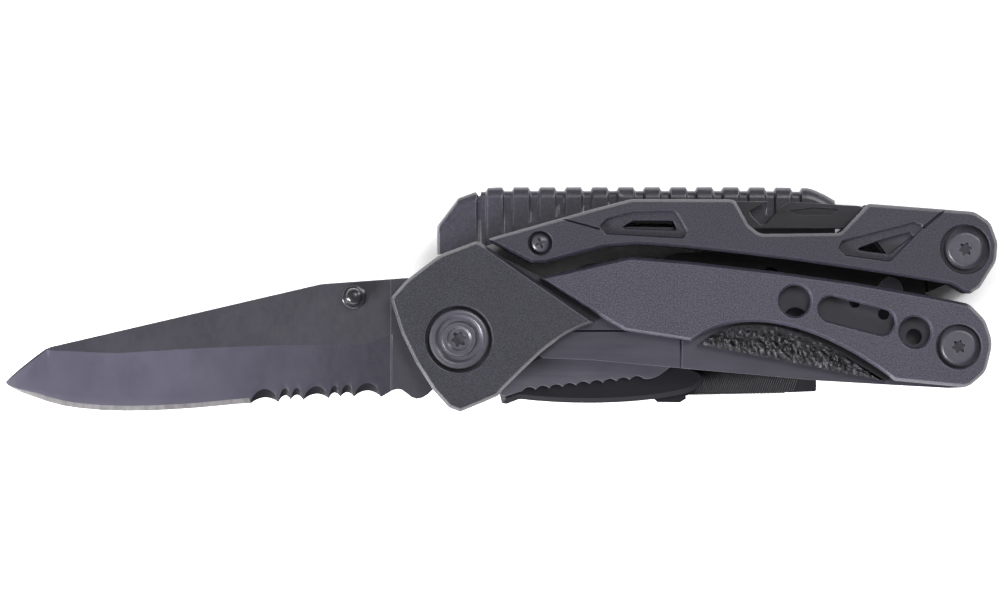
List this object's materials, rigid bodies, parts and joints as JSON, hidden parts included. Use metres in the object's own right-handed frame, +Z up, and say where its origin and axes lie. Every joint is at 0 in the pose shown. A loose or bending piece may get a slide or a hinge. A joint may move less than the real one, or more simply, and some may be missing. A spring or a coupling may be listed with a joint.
{
  "type": "multi tool",
  "caption": "Folding multi tool: locking half-serrated knife, small fold-out tools, an opener and a pair of pliers folded between two screwed handles.",
  "frame": {"origin": "centre of the tool's footprint, on the table it lies on", "axes": "+X from the knife's tip to the pliers' hinges; +Y from the lower handle to the upper handle; +Z up out of the knife's side, away from the table"},
  "size_m": [0.184, 0.0416, 0.0232],
  "materials": {
    "scale": "fine-textured charcoal coating",
    "liner": "dark coated, smooth satin",
    "blade": "dark coated, satin",
    "steel": "dark oxide",
    "grip": "moulded, matt",
    "inlay": "rough, non-slip",
    "washer": "plain bronze"
  },
  "bodies": {
    "lower_handle": {"lower_front_scale": "scale", "front_bolster": "scale", "lower_front_grip_inlay": "inlay", "knife_side_liner": "liner", "partition_liner": "liner", "lower_back_liner": "liner", "lower_back_scale": "scale", "back_bolster": "scale", "lower_back_grip_inlay": "inlay", "knife_axle": "steel", "knife_pivot_screw": "steel", "knife_pivot_nut": "steel", "knife_stop_pin": "steel", "liner_standoff": "steel", "knife_back_washer": "washer", "knife_front_washer": "washer", "tool_backspring": "steel", "lower_hinge_screw": "steel", "lower_hinge_nut": "steel", "lower_hinge_spacer": "steel"},
    "lock_bar": {"liner_lock_bar": "liner"},
    "knife": {"knife_blade": "blade", "thumb_stud": "steel"},
    "scaler": {"fish_scaler": "blade"},
    "short_blade": {"small_blade": "blade"},
    "driver": {"flat_driver": "blade"},
    "file_tool": {"file": "blade"},
    "upper_jaw": {"plier_jaw_upper": "steel", "plier_rivet": "steel"},
    "lower_jaw": {"plier_jaw_lower": "steel"},
    "upper_handle": {"upper_front_scale": "scale", "upper_front_liner": "liner", "upper_partition": "liner", "upper_back_liner": "liner", "upper_back_scale": "scale", "ribbed_grip": "grip", "opener_axle_screw": "steel", "opener_axle_nut": "steel", "upper_hinge_screw": "steel", "upper_hinge_nut": "steel", "upper_hinge_spacer": "steel"},
    "opener": {"bottle_opener": "blade"}
  },
  "joints": [
    {"name": "knife_fold", "type": "hinge", "parent": "lower_handle", "child": "knife", "pos_m": [-0.00777, -0.0074, 0.0162], "axis": [0, 0, 1], "range_deg": [0, 175]},
    {"name": "lock_bar_flex", "type": "hinge", "parent": "lower_handle", "child": "lock_bar", "pos_m": [0.03313, -0.0085, 0.0186], "axis": [0, 1, 0], "range_deg": [-2.5, 0]},
    {"name": "scaler_fold", "type": "hinge", "parent": "lower_handle", "child": "scaler", "pos_m": [-0.00777, -0.0074, 0.01195], "axis": [0, 0, -1], "range_deg": [0, 180]},
    {"name": "short_blade_fold", "type": "hinge", "parent": "lower_handle", "child": "short_blade", "pos_m": [-0.00777, -0.0074, 0.0099], "axis": [0, 0, -1], "range_deg": [0, 180]},
    {"name": "driver_fold", "type": "hinge", "parent": "lower_handle", "child": "driver", "pos_m": [-0.00777, -0.0074, 0.00785], "axis": [0, 0, -1], "range_deg": [0, 180]},
    {"name": "file_fold", "type": "hinge", "parent": "lower_handle", "child": "file_tool", "pos_m": [-0.00777, -0.0074, 0.00575], "axis": [0, 0, -1], "range_deg": [0, 180]},
    {"name": "plier_head_unfold", "type": "hinge", "parent": "lower_handle", "child": "upper_jaw", "pos_m": [0.08453, -0.0088, 0.0088], "axis": [0, 0, -1], "range_deg": [0, 170]},
    {"name": "jaws_open", "type": "hinge", "parent": "upper_jaw", "child": "lower_jaw", "pos_m": [0.07233, 0.0017, 0.0088], "axis": [0, 0, 1], "range_deg": [0, 28]},
    {"name": "upper_handle_unfold", "type": "hinge", "parent": "lower_jaw", "child": "upper_handle", "pos_m": [0.08574, 0.0092, 0.0088], "axis": [0, 0, -1], "range_deg": [0, 170]},
    {"name": "opener_fold", "type": "hinge", "parent": "upper_handle", "child": "opener", "pos_m": [0.00724, 0.0103, 0.0162], "axis": [0, 0, 1], "range_deg": [0, 150]}
  ],
  "couplings": [
    {"joint": "jaws_open", "follows": "plier_head_unfold", "ratio": 0.1647},
    {"joint": "upper_handle_unfold", "follows": "plier_head_unfold", "ratio": 1}
  ]
}
